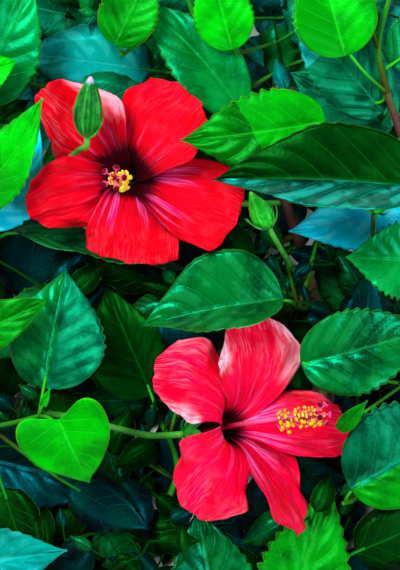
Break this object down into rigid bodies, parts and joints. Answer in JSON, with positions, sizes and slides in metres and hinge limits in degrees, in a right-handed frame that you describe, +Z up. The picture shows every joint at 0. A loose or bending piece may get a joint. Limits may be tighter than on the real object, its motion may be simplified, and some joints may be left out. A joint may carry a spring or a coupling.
{
  "type": "cut flowering hibiscus branch",
  "caption": "Cut leafy branch of red hibiscus with open blooms and buds, lying flat on its boughs with its crown of leaves spread around the flowers.",
  "frame": {"origin": "middle of the flat cut at the foot of the main stem", "axes": "+Y from the cut along the branch towards its tips, +Z up from the surface that it lies on, +X to the right seen from above"},
  "size_m": [0.3315, 0.4439, 0.1309],
  "materials": {
    "bark": "rough brown-red bark",
    "foliage": "glossy fresh green leaf",
    "stalk": "matt green young bark",
    "calyx": "satin green",
    "petal": "satin crimson petal",
    "column": "satin pink with yellow anthers"
  },
  "bodies": {
    "root": {"main_stem": "bark", "bough_left": "bark", "bough_right": "bark", "foliage_top": "foliage", "foliage_top_left": "foliage", "foliage_left": "foliage", "foliage_inner_left": "foliage", "foliage_low_left": "foliage", "foliage_low_centre": "foliage", "foliage_bottom_right": "foliage", "foliage_low_right": "foliage", "foliage_centre": "foliage", "foliage_right": "foliage", "foliage_upper_right": "foliage", "foliage_top_right": "foliage", "foliage_behind": "foliage", "bloom_upper_stalk": "stalk", "bloom_upper_calyx": "calyx", "bloom_upper_corolla": "petal", "bloom_upper_column": "column", "bloom_lower_stalk": "stalk", "bloom_lower_calyx": "calyx", "bloom_lower_corolla": "petal", "bloom_lower_column": "column", "bud_upper_stalk": "stalk", "bud_upper": "calyx", "bud_middle_stalk": "stalk", "bud_middle": "calyx", "bud_right_stalk": "stalk", "bud_right": "calyx"}
  },
  "joints": []
}
